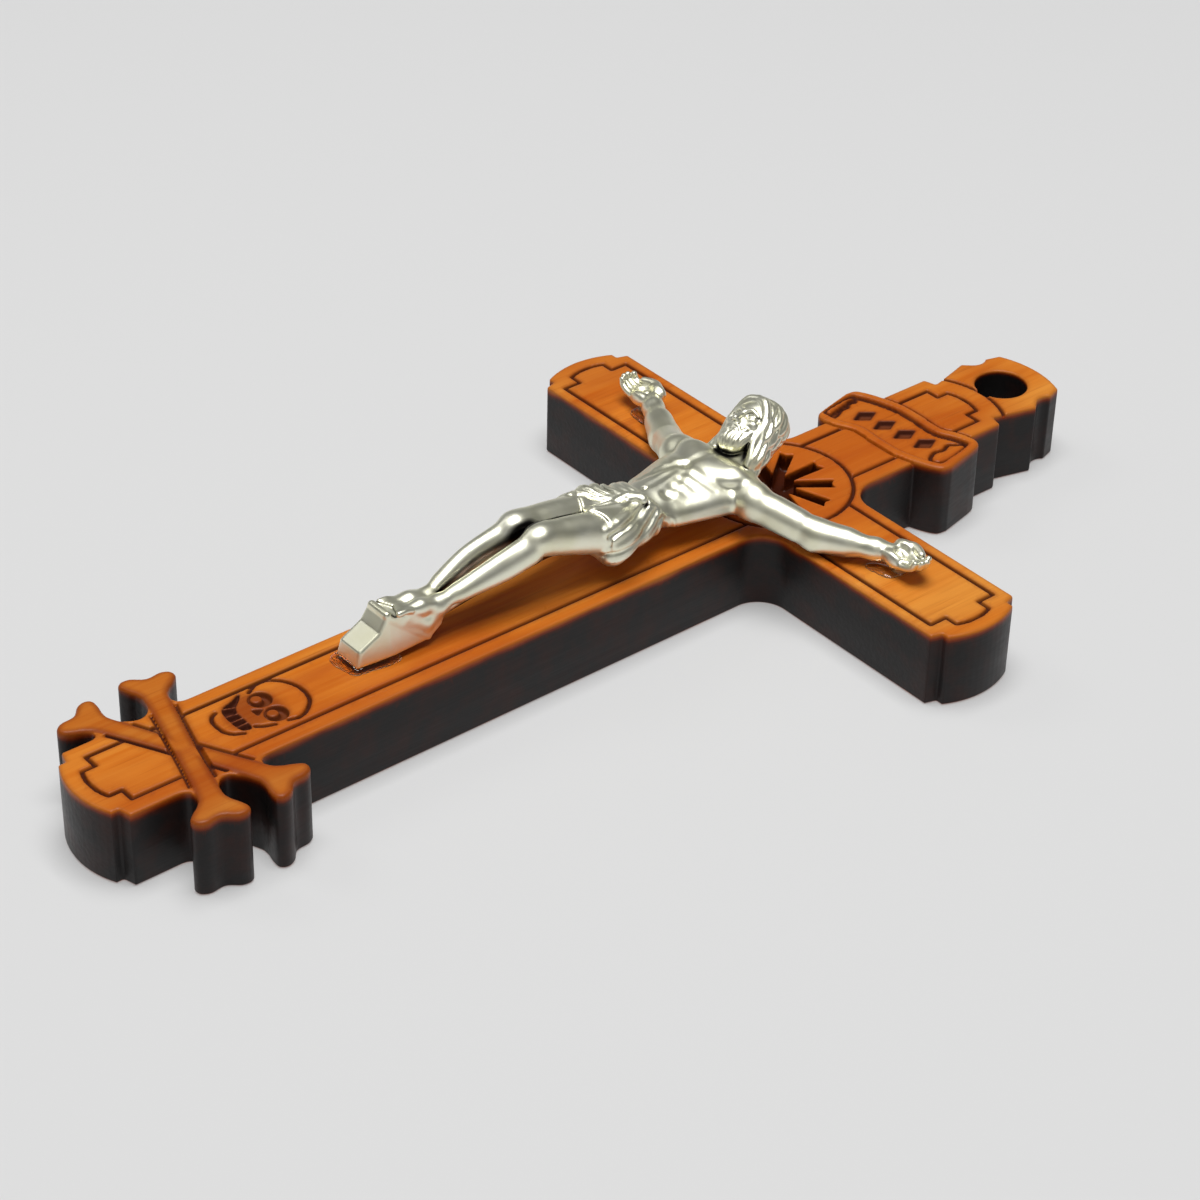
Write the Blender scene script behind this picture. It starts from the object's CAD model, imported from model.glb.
import math

import bmesh
import bpy
import numpy as np
from mathutils import Matrix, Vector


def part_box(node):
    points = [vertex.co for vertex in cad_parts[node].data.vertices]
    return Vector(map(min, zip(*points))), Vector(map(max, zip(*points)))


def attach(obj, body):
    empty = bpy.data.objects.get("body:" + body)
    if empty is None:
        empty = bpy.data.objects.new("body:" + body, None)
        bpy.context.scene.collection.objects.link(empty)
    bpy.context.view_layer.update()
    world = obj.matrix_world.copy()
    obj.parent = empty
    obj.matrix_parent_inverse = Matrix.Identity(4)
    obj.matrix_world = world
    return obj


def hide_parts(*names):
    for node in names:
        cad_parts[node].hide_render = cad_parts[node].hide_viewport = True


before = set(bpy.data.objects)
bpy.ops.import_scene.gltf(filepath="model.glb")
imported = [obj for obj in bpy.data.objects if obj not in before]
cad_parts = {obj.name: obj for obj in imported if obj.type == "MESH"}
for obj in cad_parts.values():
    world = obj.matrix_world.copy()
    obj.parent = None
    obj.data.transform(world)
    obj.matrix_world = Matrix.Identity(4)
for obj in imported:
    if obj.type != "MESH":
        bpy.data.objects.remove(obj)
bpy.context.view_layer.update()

mm = 0.001  # sizes below are in millimetres, Blender's are in metres
leastSlope = 0.2  # keeps a step along a field short where the field is flat
boardLow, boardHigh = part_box("cross_board")
backZ = boardLow.z / mm
faceZ = boardHigh.z / mm


# Meshing: a signed field (below zero inside) becomes a skin of quads

def surfaceNet(field, axes):
    inside = field < 0
    cellCount = [n - 1 for n in field.shape]
    spots, rings = [], []
    for axis in range(3):
        u, v = (axis + 1) % 3, (axis + 2) % 3
        low, high = [slice(None)] * 3, [slice(None)] * 3
        low[axis], high[axis] = slice(None, -1), slice(1, None)
        edge = np.argwhere(inside[tuple(low)] != inside[tuple(high)])
        whole = (edge[:, u] > 0) & (edge[:, v] > 0)
        whole &= (edge[:, u] < cellCount[u]) & (edge[:, v] < cellCount[v])
        edge = edge[whole]
        far = edge.copy()
        far[:, axis] += 1
        nearValue, farValue = field[tuple(edge.T)], field[tuple(far.T)]
        share = nearValue / (nearValue - farValue)
        spot = np.stack([axes[k][edge[:, k]] for k in range(3)], 1)
        spot[:, axis] += share * (axes[axis][far[:, axis]] - axes[axis][edge[:, axis]])
        ring = []
        for du, dv in ((-1, -1), (0, -1), (0, 0), (-1, 0)):
            cell = edge.copy()
            cell[:, u] += du
            cell[:, v] += dv
            ring.append(np.ravel_multi_index(tuple(cell.T), cellCount))
        ring = np.stack(ring, 1)
        inward = nearValue > 0
        ring[inward] = ring[inward][:, ::-1]
        spots.append(spot)
        rings.append(ring)
    rings, spots = np.concatenate(rings), np.concatenate(spots)
    cells, vertexOf = np.unique(rings, return_inverse=True)
    quads = vertexOf.reshape(-1, 4)
    corners = quads.ravel()
    count = np.bincount(corners, minlength=len(cells))
    sums = [np.bincount(corners, np.repeat(spots[:, k], 4), len(cells)) for k in range(3)]
    return np.stack([total / count for total in sums], 1), quads


def newPiece(name, points, quads):
    mesh = bpy.data.meshes.new(name)
    mesh.vertices.add(len(points))
    mesh.vertices.foreach_set("co", (points * mm).astype(np.float32).ravel())
    mesh.loops.add(quads.size)
    mesh.loops.foreach_set("vertex_index", quads.astype(np.int32).ravel())
    mesh.polygons.add(len(quads))
    mesh.polygons.foreach_set("loop_start", np.arange(0, quads.size, quads.shape[1], dtype=np.int32))
    mesh.update(calc_edges=True)
    mesh.validate()
    piece = bpy.data.objects.new(name, mesh)
    bpy.context.scene.collection.objects.link(piece)
    return piece


def thin(piece, faces):  # fewer faces where the skin is flat
    triangles = sum(len(p.vertices) - 2 for p in piece.data.polygons)
    if triangles <= faces:
        return
    fewer = piece.modifiers.new("fewer", "DECIMATE")
    fewer.ratio = faces / triangles
    bpy.context.view_layer.update()
    graph = bpy.context.evaluated_depsgraph_get()
    mesh = bpy.data.meshes.new_from_object(piece.evaluated_get(graph))
    piece.modifiers.clear()
    old, piece.data = piece.data, mesh
    bpy.data.meshes.remove(old)


def vertexPlaces(piece):
    places = np.empty(len(piece.data.vertices) * 3, np.float32)
    piece.data.vertices.foreach_get("co", places)
    return places.reshape(-1, 3) / mm


def setTone(piece, name, values):
    tone = piece.data.attributes.new(name, "FLOAT", "POINT")
    tone.data.foreach_set("value", np.asarray(values, np.float32))


def shadeSmooth(piece):
    piece.data.polygons.foreach_set("use_smooth", np.ones(len(piece.data.polygons), bool))


def ease(low, high, value):
    t = np.clip((value - low) / (high - low), 0, 1)
    return t * t * (3 - 2 * t)


def softMin(a, b, soft):
    if soft <= 0:
        return np.minimum(a, b)
    h = np.clip(0.5 + 0.5 * (b - a) / soft, 0, 1)
    return b + (a - b) * h - soft * h * (1 - h)


def softMax(a, b, soft):
    return -softMin(-a, -b, soft)


# Flat drawing of the board: outlines as signed fields on a grid seen from the front

board = {
    "gridStep": 0.11, "coarseStep": 0.22, "fineDepth": 0.75, "faceCount": 190000,
    "stemWidth": 9.0, "armWidth": 8.8, "armReach": 22.9, "upperReach": 21.55, "lowerReach": 62.85,
    "innerRadius": 2.5, "innerLap": 0.6, "edgeRound": 0.22, "sawAllowance": 0.035,
    "backRound": 0.2, "backProfile": ((1.0, 0.0), (0.3, 0.3), (0.0, 1.0)),  # shares: height, way in
    "lugWidth": 6.9, "shoulderRise": 0.3, "lugRise": 0.6, "lugArch": 0.85,
    "tabHeight": 8.7, "holeRadius": 2.17, "holeFromTop": 4.06,
    "tabSide": [(3.5, -2.0), (3.45, 0.55), (4.45, 4.3), (3.9, 4.95)],
    "tabNotch": [(3.85, 5.0), (3.55, 5.8), (3.85, 6.6)], "tabCorner": (3.45, 7.95),
    "tabArch": [(-4.2, 0.9), (0, 2.3), (4.2, 0.9)],
    "grooveWidth": 0.36, "grooveDepth": 0.34, "grooveRound": 0.7, "grooveLap": 0.05,
    "stemBorder": 1.5, "armBorder": 1.1, "borderStep": 1.25, "borderEnd": 1.1,
    "borderLugRise": 1.1, "borderArch": 0.35,
    "haloRadius": 6.3, "haloLift": 0.57, "haloLap": 0.4,
    "rayCount": 10, "rayLength": 4.85, "rayRoot": 0.9, "rayTip": 1.15, "rayTail": 0.25, "rayDepth": 1.6,
    "rayRound": 0.08, "underRays": 0.5, "wallLevels": (1.0, 0.6), "reliefRise": 0.15,
}
endRise = board["shoulderRise"] + board["lugRise"] + board["lugArch"]
armY = boardLow.y / mm + board["lowerReach"] + endRise
shoulderY = armY + board["upperReach"]
tabTopY = boardHigh.y / mm
haloY = armY + board["haloLift"]

margin = 4 * board["gridStep"]
gridX = np.arange(boardLow.x / mm - margin, boardHigh.x / mm + margin, board["gridStep"])
gridY = np.arange(boardLow.y / mm - margin, boardHigh.y / mm + margin, board["gridStep"])
flatX, flatY = gridX[:, None], gridY[None, :]
farOff = 9.0  # what a field says where nothing is drawn nearby
drawReach = 2.5  # a drawing is measured this far round it


def arcThrough(a, m, b, count=9):  # points of the circle's arc from a through m to b
    (ax, ay), (bx, by), (cx, cy) = a, m, b
    d = 2 * (ax * (by - cy) + bx * (cy - ay) + cx * (ay - by))
    ux = ((ax**2 + ay**2) * (by - cy) + (bx**2 + by**2) * (cy - ay) + (cx**2 + cy**2) * (ay - by)) / d
    uy = ((ax**2 + ay**2) * (cx - bx) + (bx**2 + by**2) * (ax - cx) + (cx**2 + cy**2) * (bx - ax)) / d
    r = math.hypot(ax - ux, ay - uy)
    turn = [math.atan2(y - uy, x - ux) for x, y in (a, m, b)]
    sweep = (turn[2] - turn[0]) % (2 * math.pi)
    if (turn[1] - turn[0]) % (2 * math.pi) > sweep:
        sweep -= 2 * math.pi
    return [(ux + r * math.cos(turn[0] + sweep * k / count), uy + r * math.sin(turn[0] + sweep * k / count))
            for k in range(count + 1)]


def smoothLine(points, count=8, closed=False):  # smooth curve through the points
    p = np.array(points, float)
    if closed:
        p = np.concatenate([p[-1:], p, p[:2]])
    else:
        p = np.concatenate([2 * p[:1] - p[1:2], p, 2 * p[-1:] - p[-2:-1]])
    t = np.arange(count)[:, None] / count
    line = []
    for k in range(len(p) - 3):
        a, b, c, d = p[k:k + 4]
        line.append(b + 0.5 * t * (c - a + t * (2 * a - 5 * b + 4 * c - d + t * (3 * (b - c) + d - a))))
    line = np.concatenate(line)
    return line if closed else np.concatenate([line, p[-2:-1]])


def placed(points, turn=0.0, x=0.0, y=0.0):
    c, s = math.cos(math.radians(turn)), math.sin(math.radians(turn))
    return [(x + px * c - py * s, y + px * s + py * c) for px, py in points]


def window(points):  # the part of the grid near some points
    p = np.array(points)
    i0, i1 = np.searchsorted(gridX, [p[:, 0].min() - drawReach, p[:, 0].max() + drawReach])
    j0, j1 = np.searchsorted(gridY, [p[:, 1].min() - drawReach, p[:, 1].max() + drawReach])
    return slice(i0, i1), slice(j0, j1)


def lineDistance(points, x, y, closed=False):  # from each place to a drawn line
    near = np.full(np.broadcast(x, y).shape, farOff**2)
    ends = list(points[1:]) + ([points[0]] if closed else [])
    for (ax, ay), (bx, by) in zip(points, ends):
        ex, ey = bx - ax, by - ay
        span = ex * ex + ey * ey
        if span < 1e-12:
            continue
        t = np.clip(((x - ax) * ex + (y - ay) * ey) / span, 0, 1)
        near = np.minimum(near, (x - ax - ex * t) ** 2 + (y - ay - ey * t) ** 2)
    return np.sqrt(near)


def shapeDistance(points, x, y):  # signed distance to a closed outline, below zero inside
    away = lineDistance(points, x, y, True)
    within = np.zeros(away.shape, bool)
    for (ax, ay), (bx, by) in zip(points, list(points[1:]) + [points[0]]):
        if ay == by:
            continue
        rows = (ay <= y) != (by <= y)
        within ^= rows & (x < ax + (y - ay) * (bx - ax) / (by - ay))
    return np.where(within, -away, away)


def emptyField():
    return np.full((len(gridX), len(gridY)), farOff)


def lineField(points, closed=False):
    field = emptyField()
    at = window(points)
    field[at] = lineDistance(points, flatX[at[0]], flatY[:, at[1]], closed)
    return field


def shapeField(points):
    field = emptyField()
    at = window(points)
    field[at] = shapeDistance(points, flatX[at[0]], flatY[:, at[1]])
    return field


def circleField(x, y, radius):
    return np.hypot(flatX - x, flatY - y) - radius


def barOutline(width, reach, lug, slope, rise, arch):
    half, lugHalf, top = width / 2, lug / 2, reach + slope + rise
    left = [(-half, 0), (-half, reach), (-lugHalf, reach + slope)]
    crown = arcThrough((-lugHalf, top), (0, top + arch), (lugHalf, top), 12)
    return left + crown + [(-x, y) for x, y in reversed(left)]


def fourBars(stem, arm, setback, lug, slope, rise, arch):
    field = None
    bars = ((0, stem, "upperReach"), (180, stem, "lowerReach"), (90, arm, "armReach"), (-90, arm, "armReach"))
    for turn, width, reach in bars:
        outline = placed(barOutline(width, board[reach] - setback, lug, slope, rise, arch), turn, 0, armY)
        bar = shapeField(outline)
        field = bar if field is None else np.minimum(field, bar)
    return field


def innerCorners():  # rounded wood in the four corners of the crossing
    field = emptyField()
    r, lap = board["innerRadius"], board["innerLap"]
    for sx in (1, -1):
        for sy in (1, -1):
            cx, cy = sx * board["stemWidth"] / 2, armY + sy * board["armWidth"] / 2
            block = [(cx - sx * lap, cy - sy * lap), (cx + sx * r, cy - sy * lap),
                     (cx + sx * r, cy + sy * r), (cx - sx * lap, cy + sy * r)]
            corner = np.maximum(shapeField(block), -circleField(cx + sx * r, cy + sy * r, r))
            field = np.minimum(field, corner)
    return field


def tabOutline():
    corner = board["tabCorner"]
    right = board["tabSide"] + arcThrough(*board["tabNotch"], 5) + [corner]
    crown = arcThrough(corner, (0, board["tabHeight"]), (-corner[0], corner[1]), 10)
    left = [(-x, y) for x, y in reversed(right)]
    return placed(right + crown[1:-1] + left, 0, 0, shoulderY)


scroll = {
    "lift": 14.2, "rim": 0.95, "rimRise": 0.12, "fieldDepth": 0.22, "fieldWall": (-0.1, 0.2),
    "edgeSlim": 0.02, "rimSlim": 0.05,  # these two lines are cut finer
    "edge": [(-6.85, 0.5), (-6.7, 1.35), (-6.1, 1.85), (-5.1, 2.3), (-4.0, 2.65), (-2.4, 3.0), (-0.3, 3.03),
             (1.3, 2.9), (2.3, 3.0), (3.3, 3.5), (4.5, 3.88), (5.3, 3.9), (5.85, 3.5), (6.15, 2.6)],
    "rightCurl": [(4.55, -0.7), (4.15, 0.15), (4.3, 1.0), (4.0, 1.8), (4.3, 2.3), (4.65, 2.85),
                  (5.1, 2.8), (5.45, 1.6), (5.65, 0.3), (5.55, -0.6), (5.05, -0.95)],
    "leftCurl": [(-5.65, 0.5), (-5.75, -0.15), (-5.4, -0.6), (-5.4, -1.3), (-5.1, -1.9), (-4.9, -2.6),
                 (-5.3, -2.95), (-5.75, -2.8), (-6.0, -1.6), (-6.2, 0.1), (-6.1, 0.75)],
    "lozengeCount": 4, "lozenge": (0.62, 1.0), "lozengeStep": 2.05, "lozengeShift": (-0.4, 0.05),
    "lozengeTurn": -6, "lozengeSlope": 0.15, "lozengeDepth": 0.4, "lozengeWall": (0.12, -0.12),
}


def scrollOutline():
    half = smoothLine(scroll["edge"], 6)
    turned = [(-x, -y) for x, y in half]
    ring = [tuple(p) for p in half] + turned
    return placed(ring, 0, 0, armY + scroll["lift"])


bones = {
    "front": {"x": 0.0, "height": 8.97, "angle": -15.5, "length": 18.2},
    "rear": {"x": 0.29, "height": 8.77, "angle": 27.0, "length": 18.67},
    "waist": 0.84, "dome": 0.2, "sink": 0.14, "shoulder": 0.5, "rootRound": 1.3, "wall": (0.09, -0.09),
    "frontSpread": 0.6, "rearSpread": 0.7, "underDepth": 1.4,  # the outline grooves are wider than the rest
    "end": [(-3.5, 0.95), (-2.3, 1.2), (-1.5, 1.8), (-0.75, 2.2), (-0.15, 1.9), (0.0, 1.1), (-0.38, 0.0)],
}


def boneField(bone):  # waisted shaft, flared and notched at each end
    tip = bone["length"] / 2
    quarter = [(0, bones["waist"])] + [(tip + px, py) for px, py in bones["end"]]
    right = quarter + [(px, -py) for px, py in reversed(quarter[:-1])]
    ring = right + [(-px, -py) for px, py in right[1:-1]]
    outline = smoothLine(ring, 4, True)
    return shapeField(placed(outline, bone["angle"], bone["x"], boardLow.y / mm + bone["height"]))


def rayField():  # swallow-tailed slots spreading from the middle of the halo
    root, tip, end = board["rayRoot"] / 2, board["rayTip"] / 2, board["rayLength"]
    slot = [(0, root), (end, tip), (end - board["rayTail"], 0), (end, -tip), (0, -root)]
    field = emptyField()
    for n in range(board["rayCount"]):
        ray = shapeField(placed(slot, 90 + 360 / board["rayCount"] * n, 0, haloY))
        field = np.minimum(field, ray)
    return field


skull = {
    "y": -31.7,
    "crown": [(-2.36, 0.47), (-2.85, 1.3), (-2.86, 2.14), (-2.45, 2.85), (-1.68, 3.42), (-0.81, 3.73),
              (0.07, 3.75), (0.98, 3.49), (1.65, 2.9), (2.1, 2.3), (2.28, 1.6), (2.1, 0.9)],
    "cheek": [(1.95, -0.15), (1.65, -0.95), (1.3, -1.45)],
    "jaw": [(-1.74, -2.83), (-1.5, -3.3), (-0.89, -3.61), (-0.1, -3.66), (0.57, -3.57),
            (1.15, -3.15), (1.5, -2.5)],
    "eyes": [(-1.14, 0.61), (0.95, 0.62)], "eyeBall": 0.5, "eyeRing": 0.86, "eyeSlip": 0.2,
    "nose": [(-0.05, 0.1), (-0.42, -0.6), (0.32, -0.55)],
    "mouth": [(-2.6, -0.25), (-2.21, -1.08), (-1.92, -1.96), (-1.39, -2.38), (-0.06, -2.53), (0.99, -2.43),
              (1.27, -2.07), (1.17, -1.73), (0.26, -1.66), (-0.8, -1.62), (-1.51, -1.28), (-2.05, -0.66)],
    "teeth": [[(-1.45, -1.2), (-1.8, -2.1)], [(-0.75, -1.5), (-0.95, -2.6)],
              [(-0.1, -1.5), (-0.15, -2.7)], [(0.55, -1.5), (0.6, -2.7)]],
    "toothHalf": 0.1,
    "face": [(-1.9, 1.5), (0.0, 1.8), (1.7, 1.4), (1.6, -0.6), (1.3, -2.6), (-0.2, -3.1),
             (-1.8, -2.3), (-2.5, -0.4)],
    "hollowDepth": 0.5, "hollowWall": (0.12, -0.15), "mouthShade": 0.05, "hollowShade": 0.12,
}


def skullFields():  # drawn lines, hollows and mouth that are cut as areas, and the face that is toasted
    here = lambda points: placed(points, 0, 0, skull["y"])
    lines = [lineField(here(smoothLine(skull[name], 5))) for name in ("crown", "cheek", "jaw")]
    hollows = [shapeField(here(skull["nose"]))]
    for x, y in skull["eyes"]:
        socket = circleField(x, skull["y"] + y, skull["eyeRing"])
        ballEdge = circleField(x - skull["eyeSlip"], skull["y"] + y - skull["eyeSlip"], skull["eyeBall"])
        hollows.append(np.maximum(socket, -ballEdge))
    mouth = shapeField(here(smoothLine(skull["mouth"], 4, True)))
    for tooth in skull["teeth"]:
        mouth = np.maximum(mouth, skull["toothHalf"] - lineField(here(tooth)))
    face = shapeField(here(smoothLine(skull["face"], 4, True)))
    return np.minimum.reduce(lines), np.minimum.reduce(hollows), mouth, face


def bannerLines():  # lozenges along the scroll and a curl at each end
    y = armY + scroll["lift"]
    wide, high = scroll["lozenge"]
    shiftX, shiftY = scroll["lozengeShift"]
    diamond = [(wide, 0), (0, high), (-wide, 0), (0, -high)]
    middle = (scroll["lozengeCount"] - 1) / 2
    field = emptyField()
    for k in range(scroll["lozengeCount"]):
        x = (k - middle) * scroll["lozengeStep"] + shiftX
        lozenge = placed(diamond, scroll["lozengeTurn"], x, y + shiftY + scroll["lozengeSlope"] * x)
        field = np.minimum(field, shapeField(lozenge))
    curls = [placed(smoothLine(scroll[name], 4, True), 0, 0, y) for name in ("leftCurl", "rightCurl")]
    return field, np.minimum.reduce([lineField(curl, True) for curl in curls])


def cut(depth, distance, width):  # round-bottomed engraved line
    return -depth * np.clip(1 - (distance / (width / 2)) ** 2, 0, 1) ** board["grooveRound"]


def drawBoard():  # all that is seen from the front, as flat fields, and the height of the relief
    lug = [board[name] for name in ("lugWidth", "shoulderRise", "lugRise", "lugArch")]
    cross = np.minimum(fourBars(board["stemWidth"], board["armWidth"], 0, *lug), innerCorners())
    banner = shapeField(scrollOutline())
    front, rear = boneField(bones["front"]), boneField(bones["rear"])
    outline = np.minimum.reduce([cross, shapeField(tabOutline()), banner])
    for bone in (rear, front):
        outline = softMin(outline, bone, bones["rootRound"])
    hole = circleField(0, tabTopY - board["holeFromTop"], board["holeRadius"])
    outline = np.maximum(outline, -hole) + board["sawAllowance"]
    print("board outline drawn")

    stem, across = board["stemWidth"] - 2 * board["stemBorder"], board["armWidth"] - 2 * board["armBorder"]
    end = board["lugWidth"] - 2 * board["armBorder"] - board["borderStep"]
    inset = fourBars(stem, across, board["borderEnd"], end, 0, board["borderLugRise"], board["borderArch"])
    ring = circleField(0, haloY, board["haloRadius"])
    over = np.minimum.reduce([ring, banner, front, rear])
    border = np.where(over < 0, farOff, np.abs(inset))
    halo = np.where(cross > board["haloLap"], farOff, np.abs(ring))
    tabArch = arcThrough(*[(x, shoulderY + y) for x, y in board["tabArch"]], 16)
    arch = np.where(outline > 0, farOff, lineField(tabArch))
    skullLines, hollows, mouth, skullFace = skullFields()
    lozenges, curls = bannerLines()
    behindFront = np.where(front < 0, farOff, np.abs(rear))
    edges = np.minimum.reduce([np.abs(banner) + scroll["edgeSlim"], bones["frontSpread"] * np.abs(front),
                               bones["rearSpread"] * behindFront])
    engraved = np.minimum.reduce([border, halo, arch, skullLines, np.where(cross > 0, farOff, edges)])
    onBanner = np.minimum(curls, np.abs(banner + scroll["rim"]) + scroll["rimSlim"])
    engraved = np.where(banner < -board["grooveLap"], onBanner, engraved)
    engraved = np.where(front < -board["grooveLap"], farOff, engraved)

    width, depth = board["grooveWidth"], board["grooveDepth"]
    relief = cut(depth, engraved, width)
    bannerRise = scroll["rimRise"] * np.sin(np.clip(-banner / scroll["rim"], 0, 1) * math.pi)
    bannerRise = bannerRise - scroll["fieldDepth"] * ease(*scroll["fieldWall"], -banner - scroll["rim"])
    relief = relief + np.where(banner < 0, bannerRise, 0)
    relief = relief - scroll["lozengeDepth"] * ease(*scroll["lozengeWall"], lozenges)
    relief = relief - skull["hollowDepth"] * ease(*skull["hollowWall"], np.minimum(hollows, mouth))
    for bone in (rear, front):
        inward = np.clip(-bone / bones["shoulder"], 0, 1)
        crown = bones["dome"] * np.sqrt(1 - (1 - inward) ** 2) - bones["sink"]
        if bone is rear:  # it dips where the front bone crosses it
            under = cut(depth * bones["underDepth"], np.maximum(front, 0), 2 * width)
            crown = np.where(front < width, np.minimum(crown, under), crown)
        relief = relief + (crown - relief) * ease(*bones["wall"], bone)
    shaded = [engraved, np.maximum(lozenges, 0.0), np.maximum(mouth, skull["mouthShade"]),
              np.maximum(hollows, skull["hollowShade"])]
    drawn = {"outline": outline, "engraved": np.minimum.reduce(shaded), "rays": rayField(), "hole": hole,
             "bones": np.minimum(front, rear), "skull": skullFace}
    return drawn, relief


def carveBoard(drawn, relief):  # skin of the front and of the top of the walls
    step, rayFloor = board["gridStep"], faceZ - board["rayDepth"]
    top = faceZ + max(board["reliefRise"], bones["dome"] - bones["sink"]) + 3 * step
    shelf, fine = rayFloor - board["underRays"], faceZ - board["fineDepth"]
    coarse = np.arange(shelf, fine, board["coarseStep"])
    wall = [shelf - drop for drop in board["wallLevels"]]
    levels = np.concatenate([wall, coarse, np.arange(fine, top, step)])
    zs = levels[None, None, :]
    field = softMax(drawn["outline"][:, :, None], zs - faceZ - relief[:, :, None], board["edgeRound"])
    pit = np.maximum(drawn["rays"][:, :, None], rayFloor - zs)
    field = softMax(field, -pit, board["rayRound"])
    points, quads = surfaceNet(field, (gridX, gridY, levels))
    print("board skin", len(points), "points")
    return points, quads


def readField(field, places):  # value of a flat field at each place
    i = np.clip((places[:, 0] - gridX[0]) / board["gridStep"], 0, len(gridX) - 1.001)
    j = np.clip((places[:, 1] - gridY[0]) / board["gridStep"], 0, len(gridY) - 1.001)
    i0, j0 = i.astype(int), j.astype(int)
    u, v = i - i0, j - j0
    row0 = field[i0, j0] * (1 - u) + field[i0 + 1, j0] * u
    row1 = field[i0, j0 + 1] * (1 - u) + field[i0 + 1, j0 + 1] * u
    return row0 * (1 - v) + row1 * v


def addWalls(points, quads, outline):  # straight walls down to the back, which gets a small round
    slopeX, slopeY = np.gradient(outline, board["gridStep"])
    edges = np.stack([quads, np.roll(quads, -1, 1)], 2).reshape(-1, 2)
    codes = edges.min(1) * len(points) + edges.max(1)
    _, first, uses = np.unique(codes, return_index=True, return_counts=True)
    rim = edges[first[uses == 1]]  # edges with a face on one side only
    above, rim = np.unique(rim, return_inverse=True)
    start, end = rim.reshape(-1, 2).T
    ring, reached = points[above], 0.0
    for height, inset in board["backProfile"]:
        inX, inY = readField(slopeX, ring), readField(slopeY, ring)
        step = (inset - reached) * board["backRound"] / np.maximum(np.hypot(inX, inY), leastSlope)
        level = np.full(len(ring), backZ + height * board["backRound"])
        ring = np.stack([ring[:, 0] - inX * step, ring[:, 1] - inY * step, level], 1)
        below = len(points) + np.arange(len(ring))
        walls = np.stack([above[end], above[start], below[start], below[end]], 1)
        points, quads = np.concatenate([points, ring]), np.concatenate([quads, walls])
        above, reached = below, inset
    return points, quads


def fillBack(piece):
    bm = bmesh.new()
    bm.from_mesh(piece.data)
    rim = [e for e in bm.edges if e.is_boundary]
    bmesh.ops.triangle_fill(bm, use_beauty=True, use_dissolve=False, edges=rim)
    bmesh.ops.recalc_face_normals(bm, faces=bm.faces)
    bm.to_mesh(piece.data)
    bm.free()


boardTone = {  # each pair says at which distance a tone starts and where it is full
    "groove": (0.24, 0.06), "grooveTop": (0.0, 0.12), "grooveFoot": (0.95, 0.5),
    "pit": (0.12, -0.02), "pitTop": (0.1, 0.5), "pitFoot": (3.0, 2.0),
    "wall": (0.35, 0.1), "wallTop": 0.08, "wallDepth": 0.95, "back": (0.0, 0.15),
    "bore": (0.35, 0.05), "boreTop": (0.0, 0.7),
    "line": (0.5, 0.12), "lineShare": 0.42, "edge": (0.45, 0.05), "edgeShare": 0.3,
    "bone": (0.15, -0.1), "boneShare": 0.32, "boneEdge": (-0.7, -0.1), "boneEdgeShare": 0.48,
    "skull": (0.4, -0.6), "skullShare": 0.7, "toastFoot": (0.9, 0.3),
    "rim": (0.5, 0.05), "rimFoot": (0.45, 0.05),
}


def toneBoard(piece, drawn):  # toasted, engraved and charred places, for the material
    places = vertexPlaces(piece)
    below = faceZ - places[:, 2]
    near = {name: readField(field, places) for name, field in drawn.items()}
    inset = -near["outline"]
    tint = lambda name, distance: ease(*boardTone[name], distance)
    groove = tint("groove", near["engraved"]) * tint("grooveTop", below) * tint("grooveFoot", below)
    pit = tint("pit", near["rays"]) * tint("pitTop", below) * tint("pitFoot", below)
    wall = tint("wall", inset) * np.clip((below - boardTone["wallTop"]) / boardTone["wallDepth"], 0, 1)
    bore = tint("bore", np.abs(near["hole"])) * tint("boreTop", below)
    onBone = boardTone["boneShare"] + boardTone["boneEdgeShare"] * tint("boneEdge", near["bones"])
    toasted = np.maximum.reduce([
        boardTone["lineShare"] * tint("line", near["engraved"]), boardTone["edgeShare"] * tint("edge", inset),
        onBone * tint("bone", near["bones"]), boardTone["skullShare"] * tint("skull", near["skull"])])
    setTone(piece, "toasted", toasted * tint("toastFoot", below))
    setTone(piece, "engraved", groove)
    setTone(piece, "pit", pit)
    setTone(piece, "burnt", np.maximum(wall, bore) * tint("back", places[:, 2] - backZ))
    setTone(piece, "rim", tint("rim", inset) * tint("rimFoot", below))


def makeBoard():
    drawn, relief = drawBoard()
    points, quads = carveBoard(drawn, relief)
    piece = newPiece("wooden_cross", *addWalls(points, quads, drawn["outline"]))
    fillBack(piece)
    thin(piece, board["faceCount"])
    shadeSmooth(piece)
    toneBoard(piece, drawn)
    return piece


# Clay: the cast figure is built up in a block of field values, then skinned

figure = {  # places are across, up the stem from the arms' middle, and off the board's face
    "grain": 0.085, "quickGrain": 0.12, "faceCount": 195000, "standOff": 0.01,
    "low": (-18.7, -42.0, -0.3), "high": (18.7, 3.1, 9.0), "sway": -0.6,
    "shoulder": (4.6, -5.65, 2.75), "elbow": (8.9, -3.35, 1.35), "wrist": (13.2, -1.0, 1.3),
    "palm": (15.1, -0.2, 1.25),
    "headCentre": (-0.85, -1.35, 5.35), "headBow": 24.0, "headLean": 14.0, "headTurn": -14.0,
    "headScale": 1.1,
    "hip": (1.45, -17.4, 3.45),
    "knees": ((-1.15, -25.0, 5.45), (1.35, -24.6, 5.5)),
    "shins": ((-1.6, -29.3, 4.2), (0.95, -29.0, 4.2)),
    "ankles": ((-0.95, -33.4, 2.75), (0.45, -33.3, 2.9)),
    "studRadius": 0.6,
}
figureSpot = np.array([0, armY, faceZ])


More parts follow.
